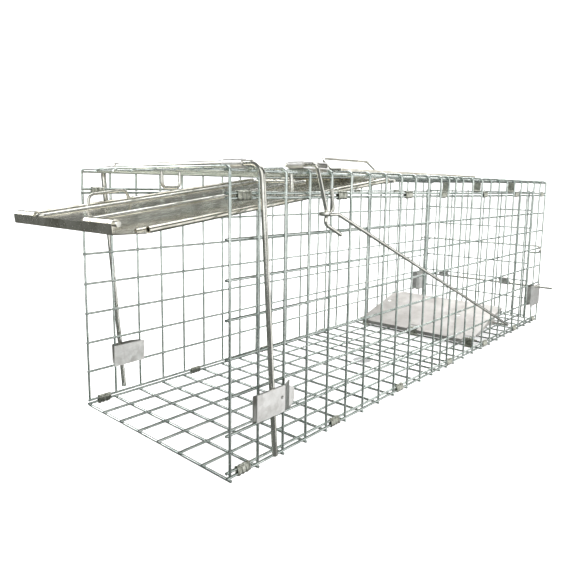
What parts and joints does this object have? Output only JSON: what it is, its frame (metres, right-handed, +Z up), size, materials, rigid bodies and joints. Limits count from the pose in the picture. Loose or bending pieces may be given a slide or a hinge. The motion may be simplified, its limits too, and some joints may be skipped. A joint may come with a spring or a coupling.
{
  "type": "live catch trap",
  "caption": "Collapsible wire-mesh live catch trap, set, with a swing-down door, lock bar, brace, treadle pedal, trigger rod, carry handle and rear lock rod.",
  "frame": {"origin": "middle of the bounding box on the ground, with the door open and the trigger set", "axes": "+X to the right seen from the mouth, +Y from the mouth to the rear, +Z up"},
  "size_m": [0.2128, 0.6766, 0.2249],
  "materials": {
    "galvanised_wire": "bright zinc-plated welded wire",
    "zinc_rod": "bright zinc-plated round rod",
    "zinc_sheet": "galvanised sheet, soft shine",
    "warm_sheet": "dull galvanised sheet",
    "clip_steel": "rolled steel clips, duller"
  },
  "bodies": {
    "cage": {"floor_panel": "galvanised_wire", "left_side_panel": "galvanised_wire", "right_side_panel": "galvanised_wire", "roof_panel": "galvanised_wire", "rear_panel": "galvanised_wire", "door_hinge_rod": "zinc_rod", "pedal_hinge_rod": "zinc_rod", "roof_stop_loop": "zinc_rod", "rear_hook_wire": "zinc_rod", "left_brace_sleeve": "zinc_sheet", "right_brace_sleeve": "zinc_sheet", "left_guide_clip": "zinc_sheet", "right_guide_clip": "zinc_sheet", "trigger_sleeve": "zinc_sheet", "hand_guard_plate": "zinc_sheet", "rear_rod_sleeves": "zinc_sheet", "left_lock_plate": "zinc_sheet", "right_lock_plate": "zinc_sheet", "door_hangers": "clip_steel", "pedal_hinge_clips": "clip_steel", "left_floor_clips": "clip_steel", "right_floor_clips": "clip_steel", "left_roof_clips": "clip_steel", "right_roof_clips": "clip_steel", "rear_panel_clips": "clip_steel"},
    "door": {"door_plate": "zinc_sheet", "door_loop": "zinc_rod"},
    "lock_bar": {"lock_bar": "zinc_rod"},
    "brace": {"brace_rod": "zinc_rod"},
    "lever": {"trigger_lever": "zinc_rod"},
    "pedal": {"pedal_plate": "warm_sheet"},
    "trigger_rod": {"trigger_rod": "zinc_rod"},
    "handle": {"carry_handle": "zinc_rod"},
    "rear_rod": {"rear_lock_rod": "zinc_rod"}
  },
  "joints": [
    {"name": "door_swing", "type": "hinge", "parent": "cage", "child": "door", "pos_m": [0, -0.07269, 0.1982], "axis": [1, 0, 0], "range_deg": [0, 38.6]},
    {"name": "lock_bar_swing", "type": "hinge", "parent": "door", "child": "lock_bar", "pos_m": [0, -0.33557, 0.17026], "axis": [1, 0, 0], "range_deg": [0, 11.58]},
    {"name": "brace_swing", "type": "hinge", "parent": "cage", "child": "brace", "pos_m": [0, -0.25151, 0.2068], "axis": [1, 0, 0], "range_deg": [-180, 0]},
    {"name": "pedal_tilt", "type": "hinge", "parent": "cage", "child": "pedal", "pos_m": [0, 0.13305, 0.00995], "axis": [1, 0, 0], "range_deg": [-11.5, 0]},
    {"name": "trigger_rod_pivot", "type": "hinge", "parent": "pedal", "child": "trigger_rod", "pos_m": [0, 0.1902, 0.022], "axis": [1, 0, 0], "range_deg": [0, 9.2]},
    {"name": "lever_swing", "type": "hinge", "parent": "cage", "child": "lever", "pos_m": [0, -0.19915, 0.2076], "axis": [1, 0, 0], "range_deg": [0, 14.03]},
    {"name": "handle_fold", "type": "hinge", "parent": "cage", "child": "handle", "pos_m": [-0.0206, 0, 0.20235], "axis": [0, 1, 0], "range_deg": [0, 98]},
    {"name": "rear_rod_slide", "type": "slide", "parent": "cage", "child": "rear_rod", "axis": [1, 0, 0], "range_m": [0, 0.17]}
  ],
  "couplings": [
    {"joint": "lock_bar_swing", "follows": "door_swing", "ratio": 0.3},
    {"joint": "trigger_rod_pivot", "follows": "pedal_tilt", "ratio": -0.8},
    {"joint": "lever_swing", "follows": "pedal_tilt", "ratio": -1.22}
  ]
}
